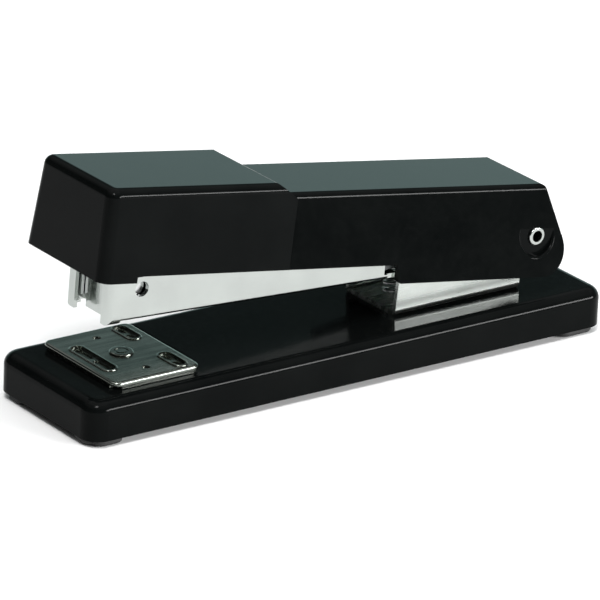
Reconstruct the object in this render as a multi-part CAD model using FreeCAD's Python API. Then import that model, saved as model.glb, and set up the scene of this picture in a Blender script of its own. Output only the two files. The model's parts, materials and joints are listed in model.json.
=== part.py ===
"""Half-strip desk stapler, modelled as the separate pieces that it is assembled from.

Millimetres. +X points to the hinge end, +Z up, and the origin is at the centre of the base's footprint,
on the surface that the rubber feet stand on. The magazine and the cover turn about one pin at the rear.
Their pieces are drawn level, with the pin at (0, 0, 0), and are then pitched up and moved to the pin.
"""
import FreeCAD, Part
import math
import os

V = FreeCAD.Vector

# Base
BASE_LENGTH = 130.0
BASE_WIDTH = 35.2
BASE_TOP = 9.85
SKIRT_BOTTOM = 1.55
BASE_WALL = 1.2
BASE_CORNER_R = 4.1
BASE_TOP_R = 2.6
FRONT = -BASE_LENGTH / 2

# Hinge
PIN_X = FRONT + 114.0
PIN_Z = 22.84
PIN_R = 1.6
PIN_HEAD_R = 1.95
PIN_HOLE_R = 1.25
RUNNING = 0.05
MAGAZINE_PITCH = 3.13
COVER_PITCH = 8.73

# Anvil
ANVIL_X = FRONT + 18.6
ANVIL_LENGTH = 21.0
ANVIL_WIDTH = 26.7
ANVIL_TOP = 11.5
ANVIL_SHEET = 0.9
CLINCH_OFFSET = 6.8
POST_R = 1.6
POST_HEAD_R = 2.5
BUTTON_R = 3.5
BUTTON_BOTTOM = 2.4

# Hinge bracket on the base
BRACKET_FRONT = -33.3
BRACKET_REAR = -0.7
BRACKET_HALF = 8.7
BRACKET_SHEET = 1.0
EAR_R = 4.5
LIFT_SPRING_X = -27.2
LIFT_SPRING_R = 2.2
LIFT_WIRE_R = 0.3

# Magazine, about the pin, level
CHANNEL_HALF = 7.8
CHANNEL_SHEET = 1.0
CHANNEL_BOTTOM = -6.5
CHANNEL_TOP = 2.49
CHANNEL_REAR = -35.46
LIP_REAR = -31.86
LIP_HALF = 7.3
NOSE_FRONT = -103.8
NOSE_BOTTOM = -7.3
NOSE_SHEET = 0.8
NOSE_OPENING_HALF = 4.8
RAIL_HALF = 5.6
RAIL_SHEET = 0.8
RAIL_TOP = 0.6
RAIL_FRONT = -100.76
RAIL_REAR = -49.8
ROD_R = 0.85
ROD_Z = -2.4
ARM_FRONT = -48.8
ARM_HALF = 6.55
ARM_SHEET = 0.9
ARM_RIVET_Z = 0.75

# Staples: standard wire, 12.7 mm crown and 6.35 mm legs
STAPLE_WIDTH = 12.7
STAPLE_LEG = 6.35
STAPLE_WIRE = 0.5
STAPLE_PLAY = 0.19
STAPLE_PITCH = 0.508
STAPLE_COUNT = 45
STRIP_FRONT = -101.56

# Cover, about the pin, level
COVER_WALL = 1.0
HEAD_FRONT = -110.6
HEAD_TOP = 13.08
HEAD_TOP_HALF = 12.84
HEAD_BOTTOM_HALF = 14.12
HEAD_CORNER_R = 2.4
HEAD_EDGE_R = 1.9
HEAD_REAR = -64.6
HEAD_STEP_TOP = -69.1
TAB_BOTTOM = -5.97
TAB_REAR = -102.0
SKIRT_LINE = -4.62
REAR_SKIRT_FRONT = -36.65
REAR_SKIRT = -8.37
ARM_COVER_TOP = 10.36
ARM_COVER_TOP_HALF = 10.2
ARM_COVER_DRAFT = 0.2545
ARM_COVER_EDGE_R = 1.4
TAIL_TOP_X = 2.1
TAIL_FOOT_X = 10.5
TAIL_R = 5.6
RECESS_R = 4.25
RECESS_FLOOR = 12.45
RECESS_RIM_R = 0.5
RECESS_PAD_INNER = 11.3

# Driver, on the cover
BLADE_FRONT = -102.5
BLADE_SHEET = 0.6
BLADE_HALF = 6.1
BLADE_TIP = -6.55
BLADE_FLANGE_TOP = 11.4


def save(name, shape):
    """Write one piece to its STEP file."""
    shape.exportStep(os.path.join("parts", name + ".step"))


def box(x, y, z):
    """A block from three (low, high) pairs."""
    return Part.makeBox(x[1] - x[0], y[1] - y[0], z[1] - z[0], V(x[0], y[0], z[0]))


def disc(radius, start, direction, length):
    """A cylinder from a start point along a direction."""
    return Part.makeCylinder(radius, length, V(*start), V(*direction))


def rounded_wire(corners, radii, place):
    """A closed wire through 2D corners, each rounded by its radius; place turns (a, b) into a 3D point."""
    count = len(corners)
    edges = []
    last = None
    first = None
    for i in range(count):
        here = V(corners[i][0], corners[i][1], 0)
        back = V(corners[i - 1][0], corners[i - 1][1], 0) - here
        ahead = V(corners[(i + 1) % count][0], corners[(i + 1) % count][1], 0) - here
        back.normalize()
        ahead.normalize()
        half = back.getAngle(ahead) / 2
        radius = radii[i]
        reach = radius / math.tan(half)
        enter = here + back * reach
        leave = here + ahead * reach
        if last is not None and (enter - last).Length > 1e-6:
            edges.append(Part.LineSegment(place(last), place(enter)).toShape())
        if radius > 0:
            inward = (back + ahead).normalize()
            middle = here + inward * (radius / math.sin(half) - radius)
            edges.append(Part.Arc(place(enter), place(middle), place(leave)).toShape())
        if first is None:
            first = enter
        last = leave
    if (first - last).Length > 1e-6:
        edges.append(Part.LineSegment(place(last), place(first)).toShape())
    return Part.Wire(edges)


def slab_xz(corners, radii, half):
    """An XZ outline extruded from -half to +half across Y."""
    wire = rounded_wire(corners, radii, lambda p: V(p.x, -half, p.y))
    return Part.Face(wire).extrude(V(0, 2 * half, 0))


def slab_yz(corners, radii, x0, x1):
    """A YZ outline extruded from x0 to x1."""
    wire = rounded_wire(corners, radii, lambda p: V(x0, p.x, p.y))
    return Part.Face(wire).extrude(V(x1 - x0, 0, 0))


def slab_xy(corners, radii, z0, z1):
    """An XY outline extruded from z0 to z1."""
    wire = rounded_wire(corners, radii, lambda p: V(p.x, p.y, z0))
    return Part.Face(wire).extrude(V(0, 0, z1 - z0))


def capsule(centre, length, width, z0, z1, along_y):
    """An upright slug with two round ends, its long axis on X or Y."""
    a = length / 2
    b = width / 2
    if along_y:
        a, b = b, a
    x, y = centre
    corners = [(x - a, y - b), (x + a, y - b), (x + a, y + b), (x - a, y + b)]
    radius = width / 2 - 1e-3
    return slab_xy(corners, [radius] * 4, z0, z1)


def mirrored(shape):
    """The same shape on the other side of the XZ plane."""
    return shape.mirror(V(0, 0, 0), V(0, 1, 0))


def both_sides(shape):
    """A group of the shape and its mirror image."""
    return Part.Compound([shape, mirrored(shape)])


def fillet_where(shape, radius, wanted):
    """Round each edge that wanted(edge) picks."""
    edges = [edge for edge in shape.Edges if wanted(edge)]
    return shape.makeFillet(radius, edges)


def spring(radius, wire_r, length, turns):
    """A compression spring standing on the XY plane, with its helix inside the length."""
    rise = length - 2 * wire_r
    helix = Part.makeLongHelix(rise / turns, rise, radius)
    section = Part.Wire(Part.makeCircle(wire_r, V(radius, 0, 0), V(0, 1, 0)))
    coil = Part.Wire(helix).makePipeShell([section], True, True)
    coil.translate(V(0, 0, wire_r))
    return coil


def at_pin(shape, pitch):
    """Pitch a level piece nose up about the pin's axis and move it to the pin."""
    shape.rotate(V(0, 0, 0), V(0, 1, 0), pitch)
    shape.translate(V(PIN_X, 0, PIN_Z))
    return shape


def magazine_piece(shape):
    return at_pin(shape, MAGAZINE_PITCH)


def cover_piece(shape):
    return at_pin(shape, COVER_PITCH)


def upright(edge):
    """True for an edge that runs mostly along Z."""
    span = edge.BoundBox
    return span.ZLength > 2 and span.XLength < 2.2 and span.YLength < 2.2


# ---------------------------------------------------------------- base

def rounded_block(inset):
    """The base's outer form, or its cavity when inset by the wall."""
    half_x = BASE_LENGTH / 2 - inset
    half_y = BASE_WIDTH / 2 - inset
    low = SKIRT_BOTTOM - (1 if inset else 0)
    high = BASE_TOP - inset
    block = box((-half_x, half_x), (-half_y, half_y), (low, high))
    block = fillet_where(block, BASE_CORNER_R - inset, upright)
    return fillet_where(block, BASE_TOP_R - inset, lambda edge: edge.BoundBox.ZMin > high - 0.01)


def base_shell():
    """Drawn steel base: a shallow box, open underneath."""
    shell = rounded_block(0).cut(rounded_block(BASE_WALL))
    shell = shell.cut(disc(POST_R + RUNNING, (ANVIL_X, 0, 0), (0, 0, 1), BASE_TOP + 1))
    for x in bracket_rivet_places():
        shell = shell.cut(disc(1.5, (x, 0, 0), (0, 0, 1), BASE_TOP + 1))
    return shell


def foot(end, side):
    """A rubber foot in one corner: a lobe along the end edge, a lobe along the side edge, and a plug."""
    end_lobe = capsule((3.0, 12.1), 6.2, 4.4, 0, SKIRT_BOTTOM, True)
    reach = 7.0 if end < 0 else 9.0
    side_lobe = capsule((2.0 + reach / 2, 14.6), reach, 4.4, 0, SKIRT_BOTTOM, False)
    lobes = end_lobe.fuse(side_lobe).removeSplitter()
    lobes = fillet_where(lobes, 0.7, lambda edge: edge.BoundBox.ZMax < 0.01)
    plug = slab_xy([(1.4, 8), (9, 8), (9, 16.2), (1.4, 16.2)], [1, 1, 1, 2.8], SKIRT_BOTTOM, 5.5)
    pad = lobes.fuse(plug).removeSplitter()
    if end > 0:
        pad = pad.mirror(V(0, 0, 0), V(1, 0, 0))
    pad.translate(V(end * BASE_LENGTH / 2, 0, 0))
    return pad if side > 0 else mirrored(pad)


def rubber_feet():
    return Part.Compound([foot(end, side) for end in (-1, 1) for side in (-1, 1)])


# ---------------------------------------------------------------- anvil

def clinch_pocket(x, y, length):
    """Raised rim and two-groove pocket: what is added to the plate, and what is cut from it."""
    rim = capsule((x, y), length, 3.7, ANVIL_TOP - 0.1, ANVIL_TOP + 0.25, True)
    rim = fillet_where(rim, 0.2, lambda edge: edge.BoundBox.ZMin > ANVIL_TOP + 0.2)
    dish = capsule((x, y), length - 0.8, 2.9, ANVIL_TOP - 0.3, ANVIL_TOP + 1, True)
    groove = (length - 1.6) / 2
    pits = [
        capsule((x, y + side * (groove / 2 + 0.25)), groove - 0.5, 1.5, ANVIL_TOP - 0.6, ANVIL_TOP, True)
        for side in (-1, 1)
    ]
    return rim, dish.multiFuse(pits)


def anvil_plate():
    """Nickel-plated plate with turned-down edges, open corners and one clinch pocket per mode."""
    half_x = ANVIL_LENGTH / 2
    half_y = ANVIL_WIDTH / 2
    x0 = ANVIL_X - half_x
    x1 = ANVIL_X + half_x
    skirt_bottom = BASE_TOP + 0.15
    corner = [(x0, -half_y), (x1, -half_y), (x1, half_y), (x0, half_y)]
    plate = slab_xy(corner, [1.8] * 4, skirt_bottom, ANVIL_TOP)
    plate = fillet_where(plate, 0.6, lambda edge: edge.BoundBox.ZMin > ANVIL_TOP - 0.01)
    under = ANVIL_TOP - ANVIL_SHEET
    t = ANVIL_SHEET
    plate = plate.cut(box((x0 + t, x1 - t), (-half_y + t, half_y - t), (0, under)))
    for cx in (x0, x1):
        for cy in (-half_y, half_y):
            plate = plate.cut(box((cx - 1.9, cx + 1.9), (cy - 1.9, cy + 1.9), (0, under)))
    places = [(CLINCH_OFFSET * -1, 0, 15.0), (CLINCH_OFFSET, 8.3, 8.4), (CLINCH_OFFSET, -8.3, 8.4)]
    for dx, y, length in places:
        rim, pocket = clinch_pocket(ANVIL_X + dx, y, length)
        plate = plate.fuse(rim).cut(pocket)
    for side in (-1, 1):
        plate = plate.cut(disc(0.85, (ANVIL_X, side * 9, ANVIL_TOP - 0.3), (0, 0, 1), 1))
    return plate.cut(disc(POST_R + RUNNING, (ANVIL_X, 0, 0), (0, 0, 1), 20))


def anvil_post():
    """Rivet that the plate turns on. It slides up through the base."""
    low = ANVIL_TOP + 0.03
    shank = disc(POST_R, (ANVIL_X, 0, BUTTON_BOTTOM + 0.2), (0, 0, 1), low - BUTTON_BOTTOM - 0.2)
    head = disc(POST_HEAD_R, (ANVIL_X, 0, low), (0, 0, 1), 0.4)
    head = fillet_where(head, 0.3, lambda edge: edge.BoundBox.ZMin > low + 0.39)
    groove = disc(1.5, (ANVIL_X, 0, low + 0.25), (0, 0, 1), 1)
    groove = groove.cut(disc(1.1, (ANVIL_X, 0, low), (0, 0, 1), 2))
    return shank.fuse(head.cut(groove)).removeSplitter()


def anvil_button():
    """Finger button under the base, staked to the post."""
    button = disc(BUTTON_R, (ANVIL_X, 0, BUTTON_BOTTOM), (0, 0, 1), 1.2)
    button = fillet_where(button, 0.4, lambda edge: edge.BoundBox.ZMax < BUTTON_BOTTOM + 0.01)
    return button.cut(disc(POST_R, (ANVIL_X, 0, BUTTON_BOTTOM + 0.2), (0, 0, 1), 3))


def anvil_spring():
    """Spring between the underside of the base and the button: it holds the plate down."""
    low = BUTTON_BOTTOM + 1.25
    high = BASE_TOP - BASE_WALL - 0.05
    coil = spring(2.4, 0.3, high - low, 4)
    coil.translate(V(ANVIL_X, 0, low))
    return coil


# ---------------------------------------------------------------- hinge bracket and pin

def bracket_rivet_places():
    return [PIN_X - 18.0, PIN_X - 8.0]


def channel_section(half, bottom, top, sheet, bend):
    """YZ corners and radii of a U channel that is open on top."""
    outer = [(-half, bottom), (half, bottom), (half, top), (-half, top)]
    inner_half = half - sheet
    low = bottom + sheet
    high = top + 1
    inner = [(-inner_half, low), (inner_half, low), (inner_half, high), (-inner_half, high)]
    return outer, [bend, bend, 0, 0], inner, [max(bend - sheet, 0.2)] * 2 + [0, 0]


def channel(half, bottom, top, sheet, bend, x0, x1):
    """A U channel along X, open on top."""
    outer, outer_r, inner, inner_r = channel_section(half, bottom, top, sheet, bend)
    return slab_yz(outer, outer_r, x0, x1).cut(slab_yz(inner, inner_r, x0 - 1, x1 + 1))


def hinge_bracket():
    """Bright U bracket riveted to the base, with two ears round the pin."""
    floor = BASE_TOP - PIN_Z
    section = channel(BRACKET_HALF, floor, EAR_R, BRACKET_SHEET, 1.4, BRACKET_FRONT, EAR_R + 1)
    shoulder = -2.98
    side = [
        (BRACKET_FRONT, floor - 1),
        (BRACKET_REAR, floor - 1),
        (BRACKET_REAR, 0),
        (-8, EAR_R * 0.98),
        (-29.8, -0.18),
        (BRACKET_FRONT + 1.1, shoulder),
    ]
    web = slab_xz(side, [0, 0, 0, 6, 2, 2], BRACKET_HALF + 1)
    ear = disc(EAR_R, (0, -BRACKET_HALF - 1, 0), (0, 1, 0), 2 * BRACKET_HALF + 2)
    bracket = section.common(web.fuse(ear))
    bracket = bracket.cut(disc(PIN_R, (0, -20, 0), (0, 1, 0), 40))
    seat = disc(1.5, (LIFT_SPRING_X, 0, floor), (0, 0, 1), BRACKET_SHEET + 0.8)
    bracket = bracket.fuse(seat).removeSplitter()
    bracket.translate(V(PIN_X, 0, PIN_Z))
    for x in bracket_rivet_places():
        bracket = bracket.cut(disc(1.5, (x, 0, 0), (0, 0, 1), BASE_TOP + 2))
    return bracket


def bracket_rivet(x):
    """A domed rivet through the bracket's floor and the base."""
    low = BASE_TOP - BASE_WALL
    top = BASE_TOP + BRACKET_SHEET
    shank = disc(1.5, (x, 0, low), (0, 0, 1), top - low)
    head = disc(2.6, (x, 0, top), (0, 0, 1), 0.9)
    head = fillet_where(head, 0.7, lambda edge: edge.BoundBox.ZMin > top + 0.8)
    tail = disc(2.3, (x, 0, low - 0.7), (0, 0, 1), 0.7)
    return shank.multiFuse([head, tail]).removeSplitter()


def bracket_rivets():
    return Part.Compound([bracket_rivet(x) for x in bracket_rivet_places()])


def lift_spring():
    """Spring that holds the magazine up off the anvil."""
    floor = BASE_TOP + BRACKET_SHEET
    coil = spring(LIFT_SPRING_R, LIFT_WIRE_R, 12.6, 7)
    coil.translate(V(PIN_X + LIFT_SPRING_X, 0, floor + 0.02))
    return coil


def hinge_pin():
    """Hollow rivet with a rolled rim at each end."""
    rim_start = RECESS_FLOOR + RUNNING
    rim = 0.5
    reach = rim_start + rim
    pin = disc(PIN_R, (0, -reach, 0), (0, 1, 0), 2 * reach)
    for side in (-1, 1):
        head = disc(PIN_HEAD_R, (0, side * rim_start, 0), (0, side, 0), rim)
        head = fillet_where(head, 0.25, lambda edge: abs(edge.BoundBox.Center.y) > reach - 0.01)
        pin = pin.fuse(head)
    pin = pin.removeSplitter().cut(disc(PIN_HOLE_R, (0, -20, 0), (0, 1, 0), 40))
    pin.translate(V(PIN_X, 0, PIN_Z))
    return pin


def ring(outer, inner, y0, y1):
    """A washer about the pin's axis, from y0 to y1."""
    washer = disc(outer, (0, y0, 0), (0, 1, 0), y1 - y0)
    return washer.cut(disc(inner, (0, y0 - 1, 0), (0, 1, 0), y1 - y0 + 2))


def hinge_washers():
    """Washers between the bracket's ears and the magazine's arm."""
    washer = ring(3.4, PIN_R, ARM_HALF + 0.1, BRACKET_HALF - BRACKET_SHEET)
    washer.translate(V(PIN_X, 0, PIN_Z))
    return both_sides(washer)


def cover_spacers():
    """Spacers between the bracket's ears and the cover."""
    spacer = ring(2.6, PIN_R, BRACKET_HALF, RECESS_PAD_INNER - 0.15)
    spacer.translate(V(PIN_X, 0, PIN_Z))
    return both_sides(spacer)


# ---------------------------------------------------------------- magazine

def nose_half():
    """The +Y half of the channel's front: a wall that turns in to a flange beside the staple outlet."""
    y = CHANNEL_HALF
    t = NOSE_SHEET
    x1 = RAIL_FRONT
    outline = [
        (NOSE_FRONT, NOSE_OPENING_HALF),
        (NOSE_FRONT, y),
        (x1, y),
        (x1, y - CHANNEL_SHEET),
        (NOSE_FRONT + t, y - CHANNEL_SHEET),
        (NOSE_FRONT + t, NOSE_OPENING_HALF),
    ]
    half = slab_xy(outline, [0, 1.1, 0, 0, 0.3, 0], NOSE_BOTTOM, CHANNEL_TOP)
    front = [(-y, NOSE_BOTTOM), (y, NOSE_BOTTOM), (y, CHANNEL_TOP + 1), (-y, CHANNEL_TOP + 1)]
    return half.common(slab_yz(front, [1.8, 1.8, 0, 0], NOSE_FRONT - 1, x1 + 1))


def magazine_channel():
    """Outer channel: floor, two walls, front flanges, sight holes and a rear lip."""
    body = channel(CHANNEL_HALF, CHANNEL_BOTTOM, CHANNEL_TOP, CHANNEL_SHEET, 0.8, RAIL_FRONT, LIP_REAR)
    floor_top = CHANNEL_BOTTOM + CHANNEL_SHEET
    body = body.cut(box((CHANNEL_REAR, 0), (-20, 20), (floor_top, 20)))
    for side in (-1, 1):
        beside = LIP_HALF * side
        far = 20 * side
        body = body.cut(box((BRACKET_FRONT - 1.2, 0), (min(beside, far), max(beside, far)), (-20, 20)))
    outlet = RAIL_FRONT + RAIL_SHEET
    inner = CHANNEL_HALF - CHANNEL_SHEET
    body = body.cut(box((-120, outlet), (-inner, inner), (-20, 20)))
    lip = box((LIP_REAR - 0.9, LIP_REAR), (-5.5, 5.5), (floor_top - 0.1, floor_top + 1.0))
    body = body.multiFuse([nose_half(), mirrored(nose_half()), lip]).removeSplitter()
    return magazine_piece(body.cut(disc(1.6, (-96.3, -20, -0.1), (0, 1, 0), 40)))


def staple_rail():
    """Inner rail that the staples straddle, with a closed nose and a slot for the pusher."""
    low = CHANNEL_BOTTOM + CHANNEL_SHEET
    rail = box((RAIL_FRONT, RAIL_REAR), (-RAIL_HALF, RAIL_HALF), (low, RAIL_TOP))
    rail = fillet_where(rail, 0.5, lambda e: e.BoundBox.ZMin > RAIL_TOP - 0.01 and e.BoundBox.XLength > 5)
    inner = RAIL_HALF - RAIL_SHEET
    hollow = box((RAIL_FRONT + RAIL_SHEET, 0), (-inner, inner), (-20, RAIL_TOP - RAIL_SHEET))
    slot = box((RAIL_FRONT + 4, RAIL_REAR - 1.5), (-1.1, 1.1), (RAIL_TOP - 2, 5))
    nose = box((RAIL_FRONT, RAIL_FRONT + RAIL_SHEET), (-5.0, 5.0), (NOSE_BOTTOM - 0.1, low + 0.5))
    rail = rail.cut(hollow).cut(slot).fuse(nose).removeSplitter()
    return magazine_piece(rail)


def hinge_arm():
    """Inverted channel that carries the magazine back to the pin."""
    top = 3.1
    body = channel(ARM_HALF, -top, 9, ARM_SHEET, 1.2, ARM_FRONT, EAR_R + 1)
    body.rotate(V(0, 0, 0), V(1, 0, 0), 180)
    underside = [(ARM_FRONT, -5.1), (-35, -5.1), (-29, -3.9), (-4, -3.6), (0, 0)]
    side = underside + [(-4, top + 1), (ARM_FRONT, top + 1)]
    web = slab_xz(side, [0, 2, 2, 0, 0, 0, 0], ARM_HALF + 1)
    ear = disc(EAR_R, (0, -ARM_HALF - 1, 0), (0, 1, 0), 2 * ARM_HALF + 2)
    arm = body.common(web.fuse(ear))
    arm = arm.cut(box((-7.5, 20), (-ARM_HALF + ARM_SHEET, ARM_HALF - ARM_SHEET), (-20, 20)))
    return magazine_piece(arm.cut(disc(PIN_R + RUNNING, (0, -20, 0), (0, 1, 0), 40)))


def arm_rivet_places():
    return [-45.5, -39.5]


def arm_rivets():
    """Rivets that join the channel's walls to the hinge arm."""
    z = ARM_RIVET_Z
    rivets = []
    for x in arm_rivet_places():
        shank = disc(0.75, (x, ARM_HALF - ARM_SHEET, z), (0, 1, 0), CHANNEL_HALF - ARM_HALF + ARM_SHEET)
        head = disc(1.1, (x, CHANNEL_HALF, z), (0, 1, 0), 0.4)
        head = fillet_where(head, 0.25, lambda edge: edge.BoundBox.YMin > CHANNEL_HALF + 0.39)
        tail = disc(1.0, (x, ARM_HALF - ARM_SHEET - 0.4, z), (0, 1, 0), 0.4)
        rivet = shank.multiFuse([head, tail]).removeSplitter()
        rivets += [rivet, mirrored(rivet)]
    return magazine_piece(Part.Compound(rivets))


def drill_for_rivets(shape):
    """Cut the arm rivets' shank holes through a piece of the magazine."""
    for x in arm_rivet_places():
        shape = shape.cut(magazine_piece(disc(0.75, (x, -20, ARM_RIVET_Z), (0, 1, 0), 40)))
    return shape


def staple_strip():
    """A glued strip of staples that straddles the rail."""
    high = RAIL_TOP + STAPLE_WIRE + STAPLE_PLAY
    low = high - STAPLE_LEG
    half = STAPLE_WIDTH / 2
    rear = STRIP_FRONT + STAPLE_COUNT * STAPLE_PITCH
    outline = [(-half, low), (half, low), (half, high), (-half, high)]
    strip = slab_yz(outline, [0, 0, 0.6, 0.6], STRIP_FRONT, rear)
    inner = half - STAPLE_WIRE
    under = high - STAPLE_WIRE
    gap = [(-inner, low - 1), (inner, low - 1), (inner, under), (-inner, under)]
    hollow = slab_yz(gap, [0, 0, 0.2, 0.2], STRIP_FRONT - 1, rear + 1)
    return magazine_piece(strip.cut(hollow))


def pusher_front():
    return STRIP_FRONT + STAPLE_COUNT * STAPLE_PITCH + 0.05


def staple_pusher():
    """Saddle that rides on the rail and pushes the strip, with a hub on the guide rod."""
    x0 = pusher_front()
    x1 = x0 + 7.0
    top = RAIL_TOP + 1.3
    saddle = slab_yz([(-6.4, -4.4), (6.4, -4.4), (6.4, top), (-6.4, top)], [0, 0, 0.8, 0.8], x0, x1)
    hollow = box((x0 - 1, x1 + 1), (-RAIL_HALF - 0.15, RAIL_HALF + 0.15), (-20, RAIL_TOP + 0.12))
    tongue = box((x0 + 0.6, x1 - 0.6), (-0.9, 0.9), (ROD_Z, top - 0.5))
    hub = disc(1.9, (x0 + 0.6, 0, ROD_Z), (1, 0, 0), 5.8)
    grip = box((x0 + 2.2, x0 + 4.8), (-3.5, 3.5), (top - 0.1, top + 0.5))
    pusher = saddle.cut(hollow).multiFuse([tongue, hub, grip]).removeSplitter()
    return magazine_piece(pusher.cut(disc(ROD_R + RUNNING, (-120, 0, ROD_Z), (1, 0, 0), 120)))


def guide_rod():
    """Rod that the pusher and its spring ride on."""
    start = RAIL_FRONT + RAIL_SHEET
    return magazine_piece(disc(ROD_R, (start, 0, ROD_Z), (1, 0, 0), RAIL_REAR + 1.6 - start))


def rod_seat():
    """Plate at the rear of the rail that the rod and its spring push against."""
    inner = RAIL_HALF - RAIL_SHEET
    low = CHANNEL_BOTTOM + CHANNEL_SHEET
    plate = box((RAIL_REAR - 1.0, RAIL_REAR), (-inner, inner), (low, RAIL_TOP - RAIL_SHEET))
    return magazine_piece(plate.cut(disc(ROD_R, (-120, 0, ROD_Z), (1, 0, 0), 120)))


def pusher_spring():
    """Compression spring round the guide rod, behind the pusher."""
    start = pusher_front() + 6.4 + 0.05
    end = RAIL_REAR - 1.0 - 0.05
    coil = spring(1.45, 0.2, end - start, 13)
    coil.rotate(V(0, 0, 0), V(0, 1, 0), 90)
    coil.translate(V(start, 0, ROD_Z))
    return magazine_piece(coil)


# ---------------------------------------------------------------- cover

def drafted(inset, top, top_half, draft):
    """A long wedge with sloping sides: top_half wide at top, and wider below by draft per millimetre."""
    slant = inset * math.sqrt(1 + draft * draft)
    high = top + 5
    low = -30
    wide_high = top_half - 5 * draft - slant
    wide_low = top_half + (top - low) * draft - slant
    corners = [(-wide_low, low), (wide_low, low), (wide_high, high), (-wide_high, high)]
    return slab_yz(corners, [0] * 4, -150, 60)


def head_form(inset):
    """The raised head of the cover: outer form, or the hollow inside it when inset."""
    top = HEAD_TOP - inset
    front = HEAD_FRONT + inset
    draft = (HEAD_BOTTOM_HALF - HEAD_TOP_HALF) / (HEAD_TOP - TAB_BOTTOM)
    block = drafted(inset, HEAD_TOP, HEAD_TOP_HALF, draft)
    block = block.common(box((front, HEAD_REAR + 10), (-20, 20), (-12, top)))
    block = fillet_where(block, HEAD_CORNER_R - inset, lambda e: upright(e) and e.BoundBox.XMax < front + 0.1)
    block = fillet_where(
        block, HEAD_EDGE_R - inset, lambda e: e.BoundBox.ZMin > top - 0.01 and e.BoundBox.XMin < HEAD_REAR
    )
    low = -12 if inset else SKIRT_LINE
    rear = HEAD_REAR - inset
    step = HEAD_STEP_TOP - inset / 2
    outline = [(-106, low), (rear, low), (rear, ARM_COVER_TOP - 0.2), (step, top), (-106, top)]
    profile = slab_xz(outline, [0, 0, 0, 0.8, 0], 20)
    tab = box((-120, TAB_REAR), (-20, 20), (-12 if inset else TAB_BOTTOM, top))
    return block.common(profile.fuse(tab))


def arm_form(inset):
    """The long rear part of the cover: outer form, or the hollow inside it, which is open at the tail."""
    top = ARM_COVER_TOP - inset
    block = drafted(inset, ARM_COVER_TOP, ARM_COVER_TOP_HALF, ARM_COVER_DRAFT)
    block = block.common(box((-107, 40), (-20, 20), (-25, top)))
    block = fillet_where(block, ARM_COVER_EDGE_R - inset, lambda e: e.BoundBox.ZMin > top - 0.01)
    if inset:
        return block
    outline = [
        (-106, SKIRT_LINE),
        (REAR_SKIRT_FRONT, SKIRT_LINE),
        (REAR_SKIRT_FRONT, REAR_SKIRT),
        (TAIL_FOOT_X, REAR_SKIRT),
        (TAIL_TOP_X, top),
        (-106, top),
    ]
    return block.common(slab_xz(outline, [0, 0, 0.8, TAIL_R, 1.0, 0], 20))


def cover_shell():
    """Painted steel cover: raised head, drafted sides, stepped skirt and dished seats for the pin."""
    shell = head_form(0).fuse(arm_form(0)).removeSplitter()
    shell = shell.cut(head_form(COVER_WALL)).cut(arm_form(COVER_WALL))
    outside = drafted(0, ARM_COVER_TOP, ARM_COVER_TOP_HALF, ARM_COVER_DRAFT)
    for side in (-1, 1):
        pad = disc(RECESS_R + 1.0, (0, side * RECESS_PAD_INNER, 0), (0, side, 0), 4).common(outside)
        pad = pad.common(arm_form(0))
        shell = shell.fuse(pad)
    shell = shell.removeSplitter()
    for side in (-1, 1):
        shell = shell.cut(disc(RECESS_R, (0, side * RECESS_FLOOR, 0), (0, side, 0), 6))

    def recess_rim(edge):
        middle = edge.valueAt((edge.FirstParameter + edge.LastParameter) / 2)
        from_pin = math.hypot(middle.x, middle.z)
        return abs(from_pin - RECESS_R) < 0.05 and abs(middle.y) > RECESS_FLOOR + 0.3

    shell = fillet_where(shell, RECESS_RIM_R, recess_rim)
    return cover_piece(shell.cut(disc(PIN_R + RUNNING, (0, -20, 0), (0, 1, 0), 40)))


def driver_blade():
    """Hardened blade that drives one staple, with a flange under the cover."""
    high = BLADE_FLANGE_TOP
    x1 = BLADE_FRONT + BLADE_SHEET
    blade = box((BLADE_FRONT, x1), (-BLADE_HALF, BLADE_HALF), (BLADE_TIP, high))
    flange = box((BLADE_FRONT, -88.7), (-5.2, 5.2), (high - BLADE_SHEET, high))
    blade = blade.fuse(flange).removeSplitter()
    for x in driver_rivet_places():
        blade = blade.cut(disc(1.1, (x, 0, 0), (0, 0, 1), 20))
    return cover_piece(blade)


def driver_rivet_places():
    return [-97.7, -92.2]


def driver_clamp():
    """Packing plate between the blade's flange and the cover."""
    clamp = box((-101.2, -84), (-6.0, 6.0), (BLADE_FLANGE_TOP, HEAD_TOP - COVER_WALL))
    return cover_piece(clamp)


def driver_rivets():
    """Studs that hold the blade's flange up against the cover."""
    rivets = []
    for x in driver_rivet_places():
        shank = disc(1.1, (x, 0, BLADE_FLANGE_TOP - BLADE_SHEET), (0, 0, 1), BLADE_SHEET)
        head = disc(2.0, (x, 0, BLADE_FLANGE_TOP - BLADE_SHEET - 0.8), (0, 0, 1), 0.8)
        low = BLADE_FLANGE_TOP - BLADE_SHEET - 0.79
        head = fillet_where(head, 0.5, lambda edge: edge.BoundBox.ZMax < low)
        rivets.append(shank.fuse(head).removeSplitter())
    return cover_piece(Part.Compound(rivets))


def cover_spring():
    """Leaf that pushes the cover up off the magazine; it bears on the hinge arm."""
    t = 0.45
    high = BLADE_FLANGE_TOP
    start = V(-88.2, 0, high)
    tip = V(-44.5, 0, -0.55)
    line = Part.BezierCurve()
    line.setPoles([start, V(-79, 0, high), V(-62, 0, 1.2), tip])
    lower = Part.BezierCurve()
    lower.setPoles([p - V(0, 0, t) for p in line.getPoles()])
    edges = [
        line.toShape(),
        Part.LineSegment(tip, tip - V(0, 0, t)).toShape(),
        lower.toShape(),
        Part.LineSegment(start - V(0, 0, t), start).toShape(),
    ]
    leaf = Part.Face(Part.Wire(Part.__sortEdges__(edges))).extrude(V(0, 7, 0))
    leaf.translate(V(0, -3.5, 0))
    return cover_piece(leaf)


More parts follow.
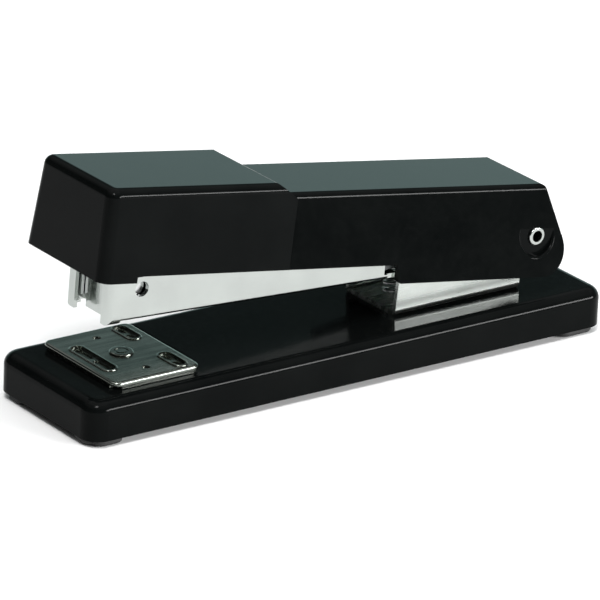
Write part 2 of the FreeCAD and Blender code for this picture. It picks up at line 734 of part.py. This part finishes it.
PIECES = {
    "base_shell": base_shell,
    "rubber_feet": rubber_feet,
    "hinge_bracket": hinge_bracket,
    "bracket_rivets": bracket_rivets,
    "lift_spring": lift_spring,
    "hinge_pin": hinge_pin,
    "hinge_washers": hinge_washers,
    "cover_spacers": cover_spacers,
    "anvil_plate": anvil_plate,
    "anvil_post": anvil_post,
    "anvil_button": anvil_button,
    "anvil_spring": anvil_spring,
    "magazine_channel": lambda: drill_for_rivets(magazine_channel()),
    "staple_rail": staple_rail,
    "hinge_arm": lambda: drill_for_rivets(hinge_arm()),
    "arm_rivets": arm_rivets,
    "staple_strip": staple_strip,
    "staple_pusher": staple_pusher,
    "guide_rod": guide_rod,
    "rod_seat": rod_seat,
    "pusher_spring": pusher_spring,
    "cover_shell": cover_shell,
    "driver_blade": driver_blade,
    "driver_clamp": driver_clamp,
    "driver_rivets": driver_rivets,
    "cover_spring": cover_spring,
}

os.makedirs("parts", exist_ok=True)
for name, make in PIECES.items():
    piece = make()
    valid = "ok" if piece.isValid() else "NOT VALID"
    print(name, valid, len(piece.Solids), "solid(s)", round(piece.Volume, 1), "mm3")
    save(name, piece)
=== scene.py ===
"""Looks for the stapler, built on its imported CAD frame. Metres; +X towards the hinge, +Z up."""

import json
import math

import bpy
from mathutils import Matrix, Vector

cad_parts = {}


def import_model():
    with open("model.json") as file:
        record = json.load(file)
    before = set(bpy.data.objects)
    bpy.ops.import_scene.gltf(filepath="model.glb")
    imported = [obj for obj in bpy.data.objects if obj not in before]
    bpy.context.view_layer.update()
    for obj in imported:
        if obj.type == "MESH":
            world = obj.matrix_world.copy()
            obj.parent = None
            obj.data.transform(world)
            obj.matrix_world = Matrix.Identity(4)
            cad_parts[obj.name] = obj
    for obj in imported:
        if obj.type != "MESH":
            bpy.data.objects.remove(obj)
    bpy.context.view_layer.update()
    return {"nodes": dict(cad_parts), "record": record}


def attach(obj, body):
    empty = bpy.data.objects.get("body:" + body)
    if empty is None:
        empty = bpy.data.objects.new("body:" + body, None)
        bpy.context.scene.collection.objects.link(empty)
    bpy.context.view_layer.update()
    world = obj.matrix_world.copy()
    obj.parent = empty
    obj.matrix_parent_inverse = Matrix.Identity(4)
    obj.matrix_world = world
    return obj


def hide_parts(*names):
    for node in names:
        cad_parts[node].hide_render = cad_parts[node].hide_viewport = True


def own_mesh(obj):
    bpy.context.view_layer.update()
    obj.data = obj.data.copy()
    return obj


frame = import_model()
nodes = frame["nodes"]


# ---------------------------------------------------------------- materials

def new_material(name):
    """A node material with its shader, and a function that adds nodes to it."""
    mat = bpy.data.materials.new(name)
    mat.use_nodes = True
    tree = mat.node_tree
    shader = tree.nodes["Principled BSDF"]

    def add(kind, **inputs):
        node = tree.nodes.new(kind)
        for key, value in inputs.items():
            node.inputs[key].default_value = value
        return node

    return mat, tree, shader, add


def noise(tree, add, scale, detail=3.0, stretch=(1, 1, 1)):
    """Noise in the piece's own coordinates, stretched along an axis by a small factor."""
    coords = tree.nodes.new("ShaderNodeTexCoord")
    mapping = tree.nodes.new("ShaderNodeMapping")
    mapping.inputs["Scale"].default_value = stretch
    tex = add("ShaderNodeTexNoise", Scale=scale, Detail=detail)
    tree.links.new(coords.outputs["Object"], mapping.inputs["Vector"])
    tree.links.new(mapping.outputs["Vector"], tex.inputs["Vector"])
    return tex.outputs["Fac"]


def ramp(tree, source, low, high, start=0.3, end=0.7):
    """Maps a 0 to 1 value between two colours or two grey levels."""
    node = tree.nodes.new("ShaderNodeValToRGB")
    elements = node.color_ramp.elements
    elements[0].position = start
    elements[1].position = end
    elements[0].color = low if isinstance(low, tuple) else (low, low, low, 1)
    elements[1].color = high if isinstance(high, tuple) else (high, high, high, 1)
    tree.links.new(source, node.inputs["Fac"])
    return node.outputs["Color"]


def bump(tree, source, strength, distance, shader):
    """Raises the surface's normal by a 0 to 1 value."""
    node = tree.nodes.new("ShaderNodeBump")
    node.inputs["Strength"].default_value = strength
    node.inputs["Distance"].default_value = distance
    tree.links.new(source, node.inputs["Height"])
    tree.links.new(node.outputs["Normal"], shader.inputs["Normal"])


ENAMEL_DARK = (0.0016, 0.0020, 0.0020, 1)
ENAMEL_LIGHT = (0.0028, 0.0033, 0.0032, 1)
ENAMEL_IOR = 1.115


def enamel():
    """Stoved black enamel: dark body under a thin gloss, with faint orange peel."""
    mat, tree, shader, add = new_material("black_enamel")
    cloud = noise(tree, add, 90, 4)
    tree.links.new(ramp(tree, cloud, ENAMEL_DARK, ENAMEL_LIGHT), shader.inputs["Base Color"])
    fine = noise(tree, add, 700, 2)
    tree.links.new(ramp(tree, fine, 0.085, 0.13), shader.inputs["Roughness"])
    peel = noise(tree, add, 1100, 1.5)
    bump(tree, peel, 0.04, 0.00001, shader)
    shader.inputs["IOR"].default_value = ENAMEL_IOR
    return mat


GRAIN_STRETCH = (0.04, 1, 1)
FINE_RELIEF = 0.00001


def metal(name, dark, light, rough, grain):
    """Bare or plated metal with a drawn grain."""
    mat, tree, shader, add = new_material(name)
    shader.inputs["Metallic"].default_value = 1.0
    cloud = noise(tree, add, 160, 4)
    tree.links.new(ramp(tree, cloud, dark, light), shader.inputs["Base Color"])
    line = noise(tree, add, grain, 3, GRAIN_STRETCH)
    tree.links.new(ramp(tree, line, rough[0], rough[1]), shader.inputs["Roughness"])
    bump(tree, line, 0.12, FINE_RELIEF, shader)
    return mat


RUBBER_DARK = (0.006, 0.006, 0.006, 1)
RUBBER_LIGHT = (0.014, 0.014, 0.014, 1)


def rubber():
    """Dull black rubber with a fine grain."""
    mat, tree, shader, add = new_material("foot_rubber")
    cloud = noise(tree, add, 300, 4)
    tree.links.new(ramp(tree, cloud, RUBBER_DARK, RUBBER_LIGHT), shader.inputs["Base Color"])
    tree.links.new(ramp(tree, cloud, 0.55, 0.8), shader.inputs["Roughness"])
    bump(tree, noise(tree, add, 2500, 2), 0.2, 0.00003, shader)
    return mat


# Each metal's darkest and lightest colour, least and most roughness, and grain.
METALS = {
    "bright_nickel": ((0.41, 0.43, 0.415, 1), (0.45, 0.475, 0.455, 1), (0.1, 0.18), 900),
    "satin_nickel": ((0.46, 0.49, 0.465, 1), (0.54, 0.57, 0.545, 1), (0.22, 0.32), 900),
    "dark_nickel": ((0.15, 0.165, 0.145, 1), (0.21, 0.225, 0.205, 1), (0.16, 0.26), 900),
    "dark_steel": ((0.07, 0.075, 0.075, 1), (0.12, 0.125, 0.125, 1), (0.25, 0.38), 700),
    "spring_steel": ((0.42, 0.43, 0.43, 1), (0.52, 0.53, 0.53, 1), (0.15, 0.25), 900),
    "staple_wire": ((0.5, 0.51, 0.51, 1), (0.62, 0.63, 0.63, 1), (0.15, 0.25), 900),
}

MATERIALS = {name: metal(name, *look) for name, look in METALS.items()}
MATERIALS["black_enamel"] = enamel()
MATERIALS["foot_rubber"] = rubber()

for subpart in frame["record"]["subparts"]:
    node = nodes[subpart["node"]]
    node.data.materials.clear()
    node.data.materials.append(MATERIALS[subpart["material_slot"]])
nodes["hinge_bracket"].data.materials[0] = MATERIALS["satin_nickel"]


# ---------------------------------------------------------------- springs


def pressed_spring(name, body):
    """A copy of the coil with a mesh of its own, put on its body; the CAD node is hidden."""
    node = nodes[name]
    coil = bpy.data.objects.new(name + "_coil", node.data.copy())
    bpy.context.scene.collection.objects.link(coil)
    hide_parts(name)
    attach(coil, body)
    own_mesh(coil)
    return coil


pressed_spring("pusher_spring", "magazine")
pressed_spring("anvil_spring", "anvil_carrier")


# ---------------------------------------------------------------- surroundings

SHEET_DARK = (0.86, 0.86, 0.86, 1)
SHEET_LIGHT = (0.88, 0.88, 0.88, 1)
SHEET_SIZE = 30
SHEET_DROP = 0.0001


def floor():
    """A pale sheet that reaches out of view on every side."""
    bpy.ops.mesh.primitive_plane_add(size=SHEET_SIZE, location=(0, 0, -SHEET_DROP))
    plane = bpy.context.object
    plane.name = "floor"
    mat, tree, shader, add = new_material("pale_sheet")
    cloud = noise(tree, add, 3, 2)
    tree.links.new(ramp(tree, cloud, SHEET_DARK, SHEET_LIGHT), shader.inputs["Base Color"])
    shader.inputs["Roughness"].default_value = 0.9
    shader.inputs["Specular IOR Level"].default_value = 0.1
    plane.data.materials.append(mat)
    return plane


def softbox(name, place, aim, width, height, power):
    """A rectangular area light that faces a point."""
    data = bpy.data.lights.new(name, "AREA")
    data.shape = "RECTANGLE"
    data.size = width
    data.size_y = height
    data.energy = power
    light = bpy.data.objects.new(name, data)
    light.location = place
    light.rotation_euler = (Vector(aim) - Vector(place)).to_track_quat("-Z", "Y").to_euler()
    bpy.context.scene.collection.objects.link(light)
    return light


TOWARD_WALL = (0.66, 0.75, 0)
ROOM_COLOUR = (0.07, 0.075, 0.072, 1)
WALL_COLOUR = (0.77, 1.1, 1.07, 1)
CEILING_COLOUR = (0.75, 0.75, 0.75, 1)


def world():
    """A dim studio with a soft pale ceiling, and one pale wall low down behind the hinge end."""
    w = bpy.data.worlds.new("studio")
    w.use_nodes = True
    tree = w.node_tree
    back = tree.nodes["Background"]
    coords = tree.nodes.new("ShaderNodeTexCoord")
    toward = tree.nodes.new("ShaderNodeVectorMath")
    toward.operation = "DOT_PRODUCT"
    toward.inputs[1].default_value = TOWARD_WALL
    tree.links.new(coords.outputs["Generated"], toward.inputs[0])
    wall = ramp(tree, toward.outputs["Value"], ROOM_COLOUR, WALL_COLOUR, 0.45, 0.85)
    split = tree.nodes.new("ShaderNodeSeparateXYZ")
    tree.links.new(coords.outputs["Generated"], split.inputs["Vector"])
    height = ramp(tree, split.outputs["Z"], 1.0, 0.12, 0.22, 0.34)
    mix = tree.nodes.new("ShaderNodeMix")
    mix.data_type = "RGBA"
    mix.blend_type = "MULTIPLY"
    mix.inputs["Factor"].default_value = 1.0
    tree.links.new(wall, mix.inputs["A"])
    tree.links.new(height, mix.inputs["B"])
    ceiling = ramp(tree, split.outputs["Z"], 0.0, CEILING_COLOUR, 0.5, 0.7)
    both = tree.nodes.new("ShaderNodeVectorMath")
    both.operation = "ADD"
    tree.links.new(mix.outputs["Result"], both.inputs[0])
    tree.links.new(ceiling, both.inputs[1])
    tree.links.new(both.outputs["Vector"], back.inputs["Color"])
    back.inputs["Strength"].default_value = 1.0
    bpy.context.scene.world = w


CAMERA_AZIMUTH = math.radians(-36.35)
CAMERA_ELEVATION = math.radians(21.41)
CAMERA_ROLL = math.radians(2.4)
CAMERA_DISTANCE = 1.1227
CAMERA_AIM = Vector((-0.00401, -0.00241, 0.01535))
CAMERA_LENS = 328.0
CAMERA_SENSOR = 36


def camera():
    """A long lens from the nose end and the near side, a little above the stapler."""
    flat = math.cos(CAMERA_ELEVATION)
    across = math.sin(CAMERA_AZIMUTH) * flat
    away = -math.cos(CAMERA_AZIMUTH) * flat
    back = Vector((across, away, math.sin(CAMERA_ELEVATION)))
    level = Vector((math.cos(CAMERA_AZIMUTH), math.sin(CAMERA_AZIMUTH), 0))
    upright = back.cross(level)
    right = level * math.cos(CAMERA_ROLL) + upright * math.sin(CAMERA_ROLL)
    up = upright * math.cos(CAMERA_ROLL) - level * math.sin(CAMERA_ROLL)
    data = bpy.data.cameras.new("camera")
    data.lens = CAMERA_LENS
    data.sensor_width = CAMERA_SENSOR
    data.clip_start = 0.01
    data.clip_end = 100
    cam = bpy.data.objects.new("camera", data)
    cam.matrix_world = Matrix((
        (right.x, up.x, back.x, 0),
        (right.y, up.y, back.y, 0),
        (right.z, up.z, back.z, 0),
        (0, 0, 0, 1),
    ))
    cam.location = CAMERA_AIM + back * CAMERA_DISTANCE
    bpy.context.scene.collection.objects.link(cam)
    bpy.context.scene.camera = cam
    return cam


floor()
world()
softbox("overhead", (0.0, 0.0, 2.0), (0, 0, 0), 2.4, 2.4, 16)
softbox("key", (-0.8, -0.8, 1.7), (0, 0, 0), 0.45, 0.45, 24)
softbox("edge", (1.1, -1.6, 0.5), (0, 0, 0.03), 1.3, 0.26, 62)
camera()
bpy.context.scene.view_settings.view_transform = "Standard"
